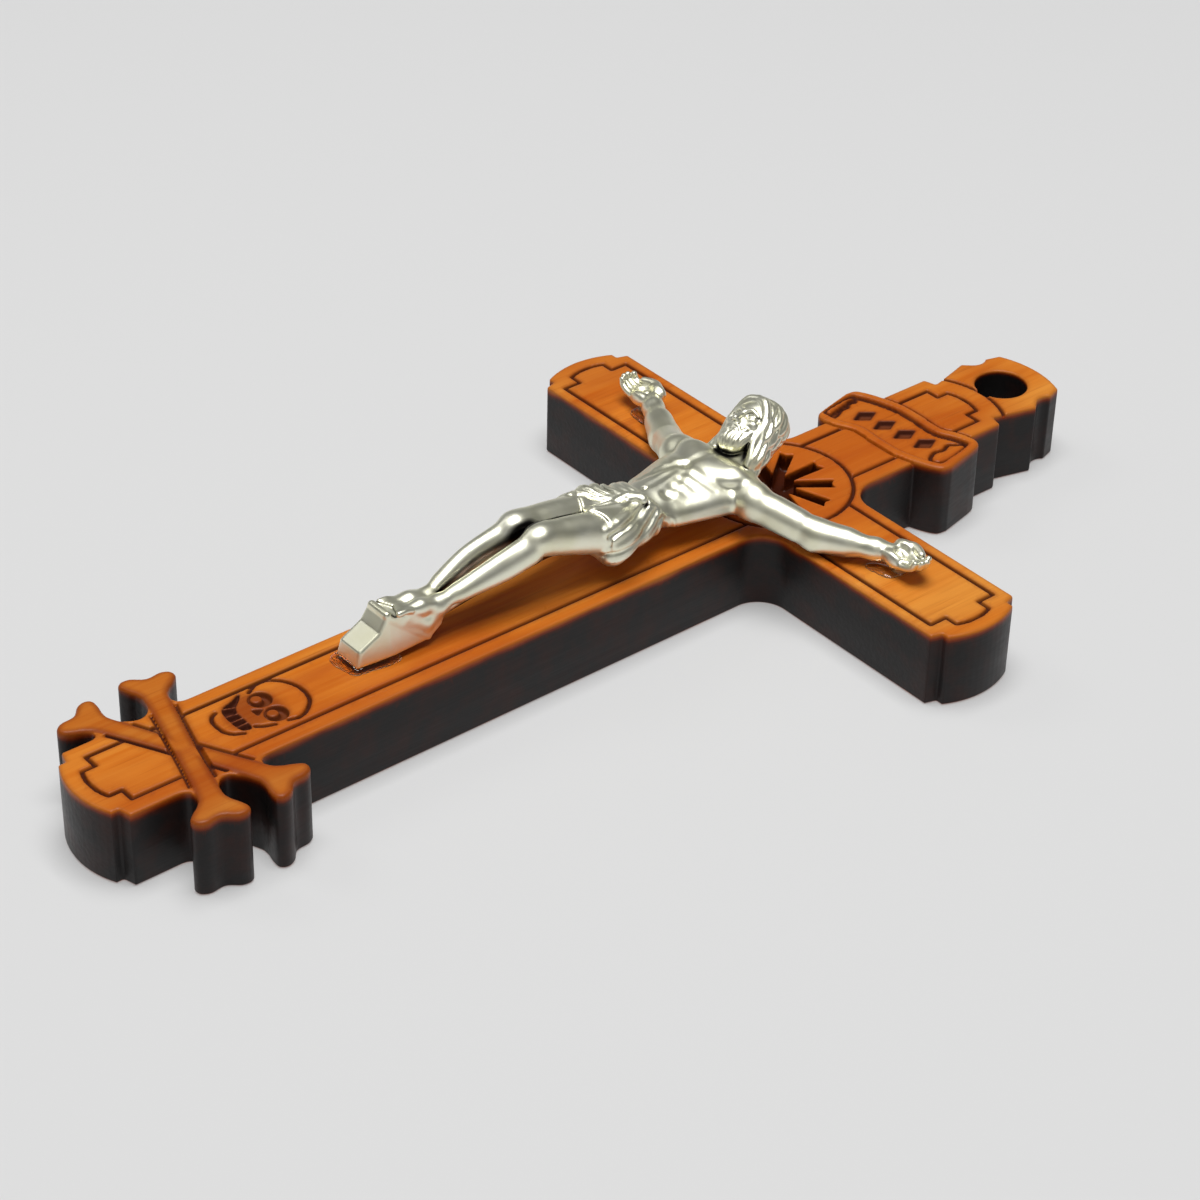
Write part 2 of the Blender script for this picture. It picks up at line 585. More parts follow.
def newClay(low, high, grain):
    axes = [np.arange(a, b + grain, grain) for a, b in zip(low, high)]
    return {"axes": axes, "grain": grain, "field": np.full([len(a) for a in axes], 3.0, np.float32)}


def clayNear(clay, points, reach):  # the block of clay about some points, and its coordinates
    points = np.array(points, float)
    at, around = [], []
    for k in range(3):
        axis = clay["axes"][k]
        i0, i1 = np.searchsorted(axis, [points[:, k].min() - reach, points[:, k].max() + reach])
        at.append(slice(i0, max(i1, i0 + 1)))
        shape = [1, 1, 1]
        shape[k] = -1
        around.append(axis[at[k]].reshape(shape))
    return tuple(at), around


def rodField(around, a, b, ra, rb):
    a, b = np.array(a, float), np.array(b, float)
    e = b - a
    gap = [axis - start for axis, start in zip(around, a)]
    t = np.clip(sum(g * s for g, s in zip(gap, e)) / max(e @ e, 1e-9), 0, 1)
    return np.sqrt(sum((g - t * s) ** 2 for g, s in zip(gap, e))) - (ra + (rb - ra) * t)


def ballField(around, centre, radii, axes):
    gap = [axis - c for axis, c in zip(around, centre)]
    if axes is not None:
        gap = [sum(g * s for g, s in zip(gap, axis)) for axis in axes]
    k0 = np.sqrt(sum((g / r) ** 2 for g, r in zip(gap, radii)))
    k1 = np.sqrt(sum((g / r**2) ** 2 for g, r in zip(gap, radii)))
    return k0 * (k0 - 1) / np.maximum(k1, 1e-6)


def lay(clay, at, shape, soft):
    clay["field"][at] = softMin(clay["field"][at], shape, soft)


def press(clay, at, shape, soft):
    clay["field"][at] = softMax(clay["field"][at], -shape, soft)


def rod(clay, a, b, ra, rb, soft=0.3, work=lay):
    at, around = clayNear(clay, [a, b], max(ra, rb) + soft + 6 * clay["grain"])
    work(clay, at, rodField(around, a, b, ra, rb), soft)


def ball(clay, centre, radii, soft=0.3, axes=None, work=lay):
    at, around = clayNear(clay, [centre], max(radii) + soft + 6 * clay["grain"])
    work(clay, at, ballField(around, centre, radii, axes), soft)


def strand(clay, points, ra, rb, soft=0.1, work=lay, steps=5):  # tapering line through the points
    line = smoothLine(points, steps)
    at, around = clayNear(clay, line, max(ra, rb) + soft + 4 * clay["grain"])
    shape, last = None, len(line) - 1
    for k in range(last):
        r0, r1 = ra + (rb - ra) * k / last, ra + (rb - ra) * (k + 1) / last
        piece = rodField(around, line[k], line[k + 1], r0, r1)
        shape = piece if shape is None else np.minimum(shape, piece)
    work(clay, at, shape, soft)


def readClay(clay, places):  # field value at each place
    spot = (places - np.array([axis[0] for axis in clay["axes"]])) / clay["grain"]
    spot = np.clip(spot, 0, np.array(clay["field"].shape) - 1.001)
    base = spot.astype(int)
    part = spot - base
    total = np.zeros(len(spot))
    for corner in range(8):
        step = np.array([corner & 1, corner >> 1 & 1, corner >> 2])
        total += np.prod(np.where(step, part, 1 - part), 1) * clay["field"][tuple((base + step).T)]
    return total


def onSkin(clay, points, sink=0.0):  # slides points to the skin and a little under it
    places = np.array(points, float)
    step = 2 * clay["grain"]
    for _ in range(8):
        away = readClay(clay, places) + sink
        slope = [readClay(clay, places + step * e) - readClay(clay, places - step * e) for e in np.eye(3)]
        slope = np.stack(slope, 1) / (2 * step)
        places = places - (away / np.maximum((slope**2).sum(1), leastSlope))[:, None] * slope
    return places


def fold(clay, points, ra, rb, sink, soft=0.1, work=lay):  # strand that follows the skin
    strand(clay, onSkin(clay, smoothLine(points, 5), sink), ra, rb, soft, work, 1)


def between(a, b, share, lift=(0, 0, 0)):
    return tuple(p + (q - p) * share + d for p, q, d in zip(a, b, lift))


def raised(point, height):
    return (point[0], point[1], point[2] + height)


def mirrored(point, side):
    return (side * point[0], point[1], point[2])


def moved(points, steps, times):  # each point taken a number of its own steps
    return [tuple(p + times * d for p, d in zip(point, step)) for point, step in zip(points, steps)]


trunk = {  # balls as place, radii, softness; rods as ends, radii, softness; folds as radii, sink, softness
    "ribCage": ((-7.6, 2.95), (3.4, 4.3, 2.2), 0.0), "belly": ((-12.3, 3.0), (2.5, 3.8, 1.75), 1.1),
    "hips": ((-16.2, 3.3), (2.8, 2.9, 2.0), 1.0),
    "shoulderTop": ((0.8, -4.1, 3.3), (4.2, -5.3, 3.0), 0.95, 1.2, 0.8),
    "flank": ((3.1, -6.6, 2.7), (2.2, -11.4, 2.7)), "flankRadii": (1.05, 0.8, 0.9), "farFuller": 0.5,
    "chest": ((1.6, -6.3, 4.4), (1.9, 1.45, 0.76), 0.5), "chestTilt": 12,
    "chestToArm": ((2.4, -5.9, 4.2), (4.6, -5.3, 3.35), 0.75, 0.7, 0.55),
    "ribCount": 4, "ribTop": -8.3, "ribStep": 0.9, "rib": (0.46, 0.36, 0.52, 0.4),
    "ribGap": 0.45, "ribFurrow": (0.34, 0.24, -0.37, 0.3),
    "arch": [(0.2, -8.7, 5.2), (0.95, -10.0, 5.0), (1.7, -11.8, 4.5)], "archFurrow": (0.36, 0.45, -0.3, 0.45),
    "breastFurrow": (0.34, 0.3, -0.24, 0.35), "bellyFurrow": (0.32, 0.3, -0.26, 0.3),
    "navel": (-12.9, 4.8), "navelBall": (0.2, 0.3, 0.2),
}


def modelTrunk(clay):
    lean = figure["sway"]
    for name, share in (("ribCage", 1), ("belly", 0.6), ("hips", 0)):
        (y, h), radii, soft = trunk[name]
        ball(clay, (share * lean, y, h), radii, soft)
    for side in (1, -1):
        here = lambda x, y, h: (side * x + lean / 2, y, h)
        start, end, *sizes = trunk["shoulderTop"]
        rod(clay, here(*start), here(*end), *sizes)
        fuller = trunk["farFuller"] if side < 0 else 0.0
        (topX, *top), (footX, *foot) = trunk["flank"]
        rod(clay, here(topX + fuller / 2, *top), here(footX + fuller, *foot), *trunk["flankRadii"])
    for side in (1, -1):
        here = lambda x, y, h: (side * x + lean / 2, y, h)
        tilt = math.radians(trunk["chestTilt"] * side)
        axes = ((math.cos(tilt), math.sin(tilt), 0), (-math.sin(tilt), math.cos(tilt), 0), (0, 0, 1))
        centre, radii, soft = trunk["chest"]
        ball(clay, here(*centre), radii, soft, axes)
        start, end, *sizes = trunk["chestToArm"]
        rod(clay, here(*start), here(*end), *sizes)
    for side in (1, -1):
        here = lambda x, y, h: (side * x + lean, y, h)
        for k in range(trunk["ribCount"]):  # ribs, with a shallow furrow under each
            y = trunk["ribTop"] - trunk["ribStep"] * k
            rib = [here(0.85 + 0.3 * k, y - 0.4, 5.1), here(1.9 + 0.15 * k, y, 4.5),
                   here(2.8 - 0.05 * k, y + 0.6, 3.6)]
            fold(clay, rib, *trunk["rib"])
            fold(clay, [(px, py - trunk["ribGap"], ph) for px, py, ph in rib], *trunk["ribFurrow"], press)
        fold(clay, [here(*p) for p in trunk["arch"]], *trunk["archFurrow"], press)
    breastbone = [(lean, -5.0, 5.2), (lean, -6.7, 5.2), (lean, -8.4, 5.2)]
    fold(clay, breastbone, *trunk["breastFurrow"], press)
    middle = [(lean, -9.6, 5.0), (0.8 * lean, -11.0, 4.8), (0.6 * lean, -12.4, 4.8)]
    fold(clay, middle, *trunk["bellyFurrow"], press)
    navel = onSkin(clay, [(0.5 * lean, *trunk["navel"])])[0]
    ball(clay, tuple(navel), trunk["navelBall"], 0.12, None, press)


arm = {  # rods as radii towards the hand and softness; places in the hand are from the middle of the palm
    "shoulderBall": (1.45, 1.25, 1.25), "shoulderSoft": 0.9, "upper": (1.25, 1.1, 0.6),
    "fore": (1.12, 0.88, 0.6), "biceps": (1.15, 1.1, 0.8), "foreSwell": (1.14, 1.02, 0.8),
    "wristEnd": (-0.7, 0, -0.05), "wrist": (0.86, 0.74, 0.4),
    "palm": ((0.05, 0.1, -0.12), (1.55, 1.3, 0.72), 0.3),
    "thumbBall": ((-0.45, 0.85, 0.32), (0.95, 0.52, 0.6), 0.25),
    "palmHeel": ((-0.25, -0.78, 0.2), (1.0, 0.45, 0.55), 0.25),
    "palmHollow": ((0.4, 0.05, 0.85), (1.0, 0.66, 0.72), 0.2),
    "nailHead": ((-0.1, 0.05, 0.3), (0.26, 0.26, 0.22), 0.06),
    "thumb": [(-0.4, 1.0, 0.4), (0.2, 1.25, 0.48), (0.8, 1.15, 0.5), (1.35, 0.92, 0.48)],
    "thumbRadii": (0.45, 0.34, 0.15),
    "fingerTop": 0.75, "fingerStep": 0.5, "fingerReach": (2.35, 2.6, 2.55, 2.25),
    "fingerRadii": (0.33, 0.25, 0.07), "studTop": -0.2, "studDepth": 0.3, "studSoft": 0.15,
}


def modelArm(clay, side):
    shoulder, elbow, wrist, palm = (mirrored(figure[k], side) for k in ("shoulder", "elbow", "wrist", "palm"))
    shoulder = (shoulder[0] + figure["sway"] / 2, *shoulder[1:])
    here = lambda x, y, h: (palm[0] + side * x, palm[1] + y, palm[2] + h)
    ball(clay, shoulder, arm["shoulderBall"], arm["shoulderSoft"])
    rod(clay, shoulder, elbow, *arm["upper"])
    biceps = between(shoulder, elbow, 0.35, (0, 0.08, 0.15)), between(shoulder, elbow, 0.7, (0, 0.08, 0.1))
    rod(clay, *biceps, *arm["biceps"])
    rod(clay, elbow, wrist, *arm["fore"])
    rod(clay, between(elbow, wrist, 0.05), between(elbow, wrist, 0.5), *arm["foreSwell"])
    rod(clay, wrist, here(*arm["wristEnd"]), *arm["wrist"])

    def handBall(name, work=lay):
        centre, radii, soft = arm[name]
        ball(clay, here(*centre), radii, soft, None, work)

    handBall("palm")
    handBall("thumbBall")
    handBall("palmHeel")
    handBall("palmHollow", press)
    strand(clay, [here(*p) for p in arm["thumb"]], *arm["thumbRadii"])
    for k, reach in enumerate(arm["fingerReach"]):
        y = arm["fingerTop"] - arm["fingerStep"] * k
        finger = [here(0.85, y, -0.05), here(0.65 * reach, y * 1.02, 0.08),
                  here(0.92 * reach, y * 0.95, 0.38), here(reach, y * 0.88, 0.8)]
        strand(clay, finger, *arm["fingerRadii"])
    handBall("nailHead")
    stud = here(0, 0, arm["studTop"]), here(0, 0, -palm[2] - arm["studDepth"])
    rod(clay, *stud, figure["studRadius"], figure["studRadius"], arm["studSoft"])


leg = {  # rods as radii towards the foot and softness
    "thigh": (1.75, 1.15, 0.5), "thighSwell": (1.45, 1.1, 0.6), "shin": (0.98, 0.62, 0.3),
    "calf": (1.0, 0.66, 0.4), "calfOut": 0.2, "shinRidge": (0.5, 0.34, 0.3), "ridgeLift": 0.42,
    "kneecap": (0.85, 1.35, 0.7), "kneecapLift": 0.2, "kneecapSoft": 0.9,
    "cleft": [(0.1, -19.2, 5.5), (0.12, -24.6, 6.2), (-0.05, -27.0, 5.4), (-0.25, -32.2, 3.6)],
    "cleftSinks": (0.0, 0.4, 0.8, 1.2), "cleftRadii": (0.16, 0.2, 0.12),
    "web": [(0.1, -24.0, 3.2), (-0.2, -28.5, 2.5), (-0.25, -33.0, 1.7)], "webRadii": (0.65, 0.5, 0.1),
}


def modelLeg(clay, side):
    number = 0 if side < 0 else 1
    hip = mirrored(figure["hip"], side)
    knee, shin, ankle = (figure[name][number] for name in ("knees", "shins", "ankles"))
    rod(clay, hip, knee, *leg["thigh"])
    thigh = [between(hip, knee, 0.15, (0, 0, 0.1)), between(hip, knee, 0.5, (0, 0, 0.25)),
             between(hip, knee, 0.95)]
    strand(clay, thigh, *leg["thighSwell"])
    ball(clay, raised(knee, leg["kneecapLift"]), leg["kneecap"], leg["kneecapSoft"])
    strand(clay, [knee, shin, ankle], *leg["shin"])
    out = leg["calfOut"] * side
    calf = [between(knee, shin, 0.25, (out, 0, -0.35)), between(knee, shin, 0.8, (out, 0, -0.45)),
            between(shin, ankle, 0.6, (0.5 * out, 0, -0.1))]
    strand(clay, calf, *leg["calf"])
    ridge = [between(knee, shin, 0.15, (0, 0, 0.45)), raised(shin, leg["ridgeLift"]),
             between(shin, ankle, 0.75, (0, 0, 0.25))]
    strand(clay, ridge, *leg["shinRidge"])


def partLegs(clay):  # cleft between the thighs and down between the shins, with a web behind it
    for sink in leg["cleftSinks"]:
        strand(clay, [raised(p, -sink) for p in leg["cleft"]], *leg["cleftRadii"], press)
    strand(clay, leg["web"], *leg["webRadii"])


footrest = {  # outlines as up the stem and off the board; half width and middle at the ridge and at the toe
    "wedge": [(-34.65, 0.75), (-34.65, 2.2), (-38.05, 3.95), (-38.8, 2.68), (-40.55, 1.6), (-40.8, 0.5)],
    "heelBlock": [(-34.6, 0.75), (-38.0, 3.6), (-36.4, 3.45), (-34.5, 3.4), (-33.5, 2.9),
                  (-33.2, 2.2), (-33.5, 1.5)],
    "ridge": (1.45, -0.45), "toe": (1.25, -0.62), "edge": 0.16, "draft": 0.10, "draftFrom": 1.5,
    "corner": 0.3,
    "bar": 0.34, "barSink": 0.1, "barInset": 0.22, "notch": 0.26, "notchPlace": (0.6, 0.02),
}


def modelRest(clay):
    wedge, (half, mid) = footrest["wedge"], footrest["ridge"]
    heelY, toeY, (ridgeY, ridgeH) = wedge[0][0], wedge[-1][0], wedge[2]
    at, around = clayNear(clay, [(0, heelY, 0), (0, toeY, ridgeH)], 2.6)
    x, y, h = around
    ahead = np.clip((ridgeY - y) / (ridgeY - toeY), 0, 1.1)
    wedgeHalf, wedgeMid = (a + (b - a) * ahead for a, b in zip(footrest["ridge"], footrest["toe"]))
    draft = footrest["draft"] * (h - footrest["draftFrom"])
    blocks = ((wedge, wedgeHalf, wedgeMid, 0.1), (footrest["heelBlock"], half, mid, 0.2))
    for outline, blockHalf, blockMid, soft in blocks:
        side = np.abs(x - blockMid) - blockHalf + draft
        shape = softMax(shapeDistance(outline, y, h) - footrest["edge"], side, footrest["corner"])
        lay(clay, at, shape, soft)
    barH, radius = ridgeH - footrest["barSink"], footrest["bar"]
    half = half - footrest["barInset"]
    rod(clay, (mid - half + radius, ridgeY, barH), (mid + half - radius, ridgeY, barH), radius, radius, 0.08)
    behind, above = footrest["notchPlace"]
    notch = [(mid + end * half, ridgeY + behind, ridgeH + above) for end in (-1, 1)]
    rod(clay, *notch, footrest["notch"], footrest["notch"], 0.1, press)


foot = {  # places up the stem and off the board; pairs of rises are far foot, near foot
    "heel": (-34.6, 1.9), "inStep": (-35.0, 0.45), "ballOfFoot": -36.3, "ballRise": (3.3, 3.5),
    "sole": (-36.4, 3.0), "upper": (0.68, 0.6, 0.4), "arch": (0.6, 0.5, 0.35), "back": (0.66, 0.62, 0.4),
    "ankleBone": (0.26, 0.36, 0.36), "ankleBoneSpot": (0.48, -0.2, -0.1), "ankleBoneSoft": 0.3,
    "toeCount": 5, "toeSpread": 0.5, "toeRoot": -36.1, "toeBend": -36.7, "toeTip": -37.3, "toeStep": 0.1,
    "toeRise": (3.5, 3.7), "toe": 0.22, "toeEnd": 0.2, "bigToe": 0.05, "toeSoft": 0.07,
}


def modelFoot(clay, side):
    number = 0 if side < 0 else 1
    ankle = figure["ankles"][number]
    x = ankle[0]
    heel = (x, *foot["heel"])
    inStep = (x, foot["inStep"][0], ankle[2] + foot["inStep"][1])
    rod(clay, ankle, inStep, *foot["upper"])
    rod(clay, inStep, (x, foot["ballOfFoot"], foot["ballRise"][number]), *foot["arch"])
    rod(clay, ankle, heel, *foot["back"])
    rod(clay, heel, (x, *foot["sole"]), *foot["arch"])
    out, up, off = foot["ankleBoneSpot"]
    for swell in (1, -1):
        ball(clay, (x + out * swell, ankle[1] + up, ankle[2] + off), foot["ankleBone"], foot["ankleBoneSoft"])
    rise = foot["toeRise"][number]
    for k in range(foot["toeCount"]):
        toeX = x - foot["toeSpread"] * side * (k / 2 - 1)
        root, bend = (toeX * 0.9 + x * 0.1, foot["toeRoot"], rise), (toeX, foot["toeBend"], rise + 0.2)
        toe = [root, bend, (toeX, foot["toeTip"] + foot["toeStep"] * k, rise + 0.22)]
        strand(clay, toe, foot["toe"], foot["toeEnd"] + foot["bigToe"] * (k == 0), foot["toeSoft"])


cloth = {  # balls as place and radii; folds as radii, sink and softness
    "low": (-3.4, -20.8, 0.8), "high": (3.4, -12.0, 6.2),
    "wrap": ((0, -15.7, 3.2), (3.05, 3.5, 2.3)), "thighWrap": (2.05, 1.6),
    "nearGather": ((2.1, -18.0, 2.75), (1.25, 1.5, 1.75)),
    "farGather": ((-2.0, -17.4, 3.7), (1.4, 2.6, 1.75)),
    "waist": 13.2, "waistSlope": 0.25, "waistDip": 0.75, "hem": 19.35, "hemWave": 0.3, "hemSlope": 0.12,
    "belt": [(3.1, -12.9, 1.8), (2.8, -13.0, 3.4), (1.6, -14.2, 4.8), (0.2, -14.6, 5.3), (-1.3, -14.4, 5.1),
             (-2.5, -14.0, 4.0), (-2.9, -13.9, 2.2)],
    "beltRolls": ((0.0, 0.36), (-0.5, 0.3), (0.42, 0.24)),
    "knot": (1.3, -14.8, 5.2), "knotBall": (0.72, 0.5, 0.42),
    "sweepCount": 4, "sweepFold": (0.3, 0.36, 0.18, 0.14), "sweepFurrow": (0.2, 0.22, -0.06, 0.1),
    "sweep": [(0.9, -15.4, 5.5), (-0.6, -15.8, 5.5), (-1.9, -15.7, 4.9), (-2.9, -15.2, 3.6)],
    "sweepStep": [(0, -0.2, 0), (0, -0.5, 0), (0, -0.85, 0), (0, -1.1, 0)],
    "drapeCount": 3, "drapeFold": (0.36, 0.5, 0.28, 0.2), "drapeFurrow": (0.24, 0.28, -0.1, 0.14),
    "drape": [(1.5, -14.9, 5.1), (2.0, -16.4, 4.9), (2.3, -17.8, 4.7), (2.35, -19.3, 4.6)],
    "drapeStep": [(0.5, 0.5, -0.5), (0.5, 0.35, -1.0), (0.4, 0.15, -1.2), (0.35, 0, -1.3)],
    "innerEnd": [(0.9, -15.1, 5.5), (0.6, -16.3, 5.6), (0.4, -17.6, 5.5), (0.2, -18.7, 5.2)],
    "outerEnd": [(1.3, -15.2, 5.5), (1.25, -16.4, 5.6), (1.05, -17.8, 5.6), (0.95, -19.2, 5.4)],
    "innerFold": (0.38, 0.3, 0.12, 0.12), "outerFold": (0.34, 0.3, 0.14, 0.12),
}


def modelCloth(clay):
    at, around = clayNear(clay, [cloth["low"], cloth["high"]], 0.6)
    x, y, h = around
    wrap = ballField(around, *cloth["wrap"], None)
    for side, number in ((-1, 0), (1, 1)):
        hip, knee = mirrored(figure["hip"], side), figure["knees"][number]
        wrap = softMin(wrap, rodField(around, hip, knee, *cloth["thighWrap"]), 0.5)
    for gather in ("nearGather", "farGather"):
        wrap = softMin(wrap, ballField(around, *cloth[gather], None), 0.4)
    dip = cloth["waistDip"] * np.exp(-(x / 1.7) ** 2) * ease(2.5, 4.5, h)
    waistLine = y + cloth["waist"] - cloth["waistSlope"] * x + dip
    wave = cloth["hemWave"] * np.sin(x * 1.5 + 0.6)
    hemLine = -(y + cloth["hem"] + wave - cloth["hemSlope"] * (h - 3.5))
    wrap = softMax(wrap, waistLine, 0.25)
    wrap = softMax(wrap, hemLine, 0.2)
    lay(clay, at, wrap, 0.06)
    for rise, radius in cloth["beltRolls"]:
        fold(clay, [(px, py + rise, ph) for px, py, ph in cloth["belt"]], radius, radius, radius * 0.45, 0.1)
    for k in range(cloth["sweepCount"]):  # folds drawn across to the far hip
        sweep = moved(cloth["sweep"], cloth["sweepStep"], k)
        fold(clay, sweep, *cloth["sweepFold"])
        fold(clay, [(px, py - 0.4, ph) for px, py, ph in sweep], *cloth["sweepFurrow"], press)
    for k in range(cloth["drapeCount"]):  # folds hanging round the near thigh
        drape = moved(cloth["drape"], cloth["drapeStep"], k)
        fold(clay, drape, *cloth["drapeFold"])
        fold(clay, [(px + 0.15, py + 0.4, ph - 0.4) for px, py, ph in drape], *cloth["drapeFurrow"], press)
    ball(clay, tuple(onSkin(clay, [cloth["knot"]])[0]), cloth["knotBall"], 0.15)
    fold(clay, cloth["innerEnd"], *cloth["innerFold"])
    fold(clay, cloth["outerEnd"], *cloth["outerFold"])


def headAxes():
    bow, lean, turn = (math.radians(figure[k]) for k in ("headBow", "headLean", "headTurn"))
    tip = np.array([[1, 0, 0], [0, math.cos(bow), -math.sin(bow)], [0, math.sin(bow), math.cos(bow)]])
    tilt = np.array([[math.cos(lean), -math.sin(lean), 0], [math.sin(lean), math.cos(lean), 0], [0, 0, 1]])
    look = np.array([[math.cos(turn), 0, math.sin(turn)], [0, 1, 0], [-math.sin(turn), 0, math.cos(turn)]])
    return (tilt @ tip @ look).T  # rows: across, up, front


head = {  # across, up, forward of its middle; balls and lines as place or points, radii, softness
    "skull": ((0, 0.5, -0.25), (1.75, 1.95, 1.95), 0.2), "face": ((0, -0.75, 0.35), (1.32, 1.65, 1.45), 0.35),
    "crownHair": ((0, 0.62, -0.45), (2.05, 2.08, 2.05), 0.15),
    "napeHair": ((0, -1.2, -1.35), (1.7, 1.9, 0.9), 0.4),
    "cheekHair": ((1.45, -0.6, -0.15), (0.72, 1.75, 1.15), 0.25),
    "jawHair": ((1.7, -2.1, -0.35), (0.66, 1.25, 0.85), 0.25),
    "farJawHair": ((1.95, -2.1, -0.35), (0.66, 1.25, 0.85), 0.25),
    "cheekbone": ((0.98, -0.55, 1.15), (0.45, 0.4, 0.45), 0.3),
    "socket": ((0.62, -0.02, 1.78), (0.46, 0.3, 0.3), 0.16),
    "lid": ((0.62, -0.08, 1.38), (0.4, 0.25, 0.28), 0.06),
    "nostril": ((0.2, -0.85, 1.86), (0.17, 0.15, 0.18), 0.1),
    "lidLine": ([(0.28, -0.16, 1.68), (0.62, -0.24, 1.7), (0.96, -0.14, 1.55)], 0.05, 0.05, 0.04),
    "brow": ([(0.12, 0.2, 1.72), (0.55, 0.42, 1.7), (1.12, 0.2, 1.42)], 0.17, 0.13, 0.14),
    "nose": ([(0, 0.28, 1.68), (0, -0.3, 1.88), (0, -0.8, 2.12)], 0.16, 0.23, 0.16),
    "upperLip": ([(-0.42, -1.38, 1.68), (0, -1.34, 1.82), (0.42, -1.38, 1.68)], 0.12, 0.12, 0.08),
    "lowerLip": ([(-0.42, -1.55, 1.64), (0, -1.58, 1.78), (0.42, -1.55, 1.64)], 0.12, 0.12, 0.08),
    "beard": ((0, -2.1, 1.05), (1.05, 0.9, 0.8), 0.25),
    "jawBeard": ((0.85, -1.5, 0.85), (0.45, 0.9, 0.65), 0.2),
    "moustache": ([(0.05, -1.12, 1.82), (0.45, -1.25, 1.78), (0.85, -1.75, 1.45)], 0.17, 0.12, 0.06),
    "hairline": ([(0.05, 1.75, 1.3), (0.8, 1.5, 1.35), (1.4, 0.5, 1.0), (1.55, -0.6, 0.8), (1.5, -1.5, 0.65),
                  (1.7, -2.4, 0.35), (1.75, -3.2, 0.0)], 0.36, 0.26, 0.1),
    "neckFoot": (0.0, -4.2, 3.3), "neckTop": (0, -1.4, -0.6), "neck": (1.2, 1.1, 0.5),
    "beardLocks": 5, "beardLock": (0.2, 0.12, 0.08, 0.06),  # locks as radii, sink and softness
    "waves": 8, "waveSwing": 0.16, "wave": (0.24, 0.18, 0.13, 0.07), "waveFurrow": (0.1, 0.1, -0.03, 0.05),
    "farLocks": 3, "farLock": (0.42, 0.16, 0.08), "looseLocks": 3, "looseLock": (0.4, 0.1, 0.08),
    "reaching": [(1.7, -1.3, 0.3), (2.2, -2.4, 0.2), (2.6, -3.2, -0.2), (3.1, -3.7, -0.7)],
    "reachingStep": [(0, -0.25, -0.4), (0, 0, -0.4), (0.15, 0, -0.4), (0.2, 0.3, -0.35)],
    "loose": [(1.7, -2.0, 0.2), (1.75, -2.8, 0.1), (1.55, -3.4, -0.1), (1.9, -3.9, -0.5)],
    "looseStep": [(0, 0, -0.5), (0.1, 0, -0.45), (0.3, 0, -0.4), (0.35, 0.15, -0.3)],
}


def headTools(clay):  # ways of adding to the head in its own tilted frame; side -1 mirrors
    axes, size = headAxes(), figure["headScale"]
    centre = np.array(figure["headCentre"])

    def here(a, b, c):
        return tuple(centre + size * (a * axes[0] + b * axes[1] + c * axes[2]))

    def lump(name, side=1, work=lay):
        place, radii, soft = head[name]
        ball(clay, here(*mirrored(place, side)), [r * size for r in radii], soft, axes, work)

    def line(points, ra, rb, soft, side=1, work=lay):
        strand(clay, [here(*mirrored(p, side)) for p in points], ra * size, rb * size, soft, work)

    def feature(name, side=1, work=lay):
        points, *sizes = head[name]
        line(points, *sizes, side, work)

    def lock(points, ra, rb, sink, soft, side=1, work=lay):
        fold(clay, [here(*mirrored(p, side)) for p in points], ra * size, rb * size, sink, soft, work)

    return here, lump, line, feature, lock


def modelHead(clay):
    here, lump, line, feature, lock = headTools(clay)
    rod(clay, head["neckFoot"], here(*head["neckTop"]), *head["neck"])
    lump("skull")
    lump("face")
    lump("crownHair")
    for side in (1, -1):
        lump("cheekHair", side)
        lump("jawHair" if side > 0 else "farJawHair", side)
    lump("napeHair")
    for side in (1, -1):
        lump("cheekbone", side)
        lump("socket", side, press)
        lump("lid", side)
        feature("lidLine", side, press)
        feature("brow", side)
        lump("nostril", side)
    for name in ("nose", "upperLip", "lowerLip"):
        feature(name)
    lump("beard")
    for side in (1, -1):
        lump("jawBeard", side)
        feature("moustache", side)
        beardLocks(lock, side)
        feature("hairline", side)
        hairLocks(line, lock, side)


def beardLocks(lock, side):
    for k in range(head["beardLocks"]):
        a = 0.15 + 0.26 * k
        curl = [(a + 0.15, -1.6 + 0.2 * k, 1.6 - 0.2 * k), (a, -2.2 + 0.06 * k, 1.72 - 0.17 * k),
                (a * 0.75, -2.85 + 0.1 * k, 1.25 - 0.1 * k)]
        lock(curl, *head["beardLock"], side)


def hairLocks(line, lock, side):
    for k in range(head["waves"]):  # wavy locks from the parting to the shoulder
        c = 1.05 - 0.38 * k
        swing = head["waveSwing"] * (-1) ** k
        wave = [(0.1, 2.3 + 0.08 * k, c * 0.9 + 0.2), (1.1, 2.0 + 0.08 * k, c), (1.85, 1.0, c - swing),
                (2.0, -0.3, c * 0.85 + swing - 0.1), (2.0, -1.5, c * 0.7 - swing - 0.2),
                (2.05, -2.7, c * 0.6 - 0.4)]
        lock(wave, *head["wave"], side)
        lock([raised(p, -0.2) for p in wave], *head["waveFurrow"], side, press)
    for k in range(head["farLocks"] if side < 0 else 0):  # locks that reach the far shoulder
        line(moved(head["reaching"], head["reachingStep"], k), *head["farLock"], side)
    for k in range(head["looseLocks"]):  # loose ends over the shoulder
        line(moved(head["loose"], head["looseStep"], k), *head["looseLock"], side)


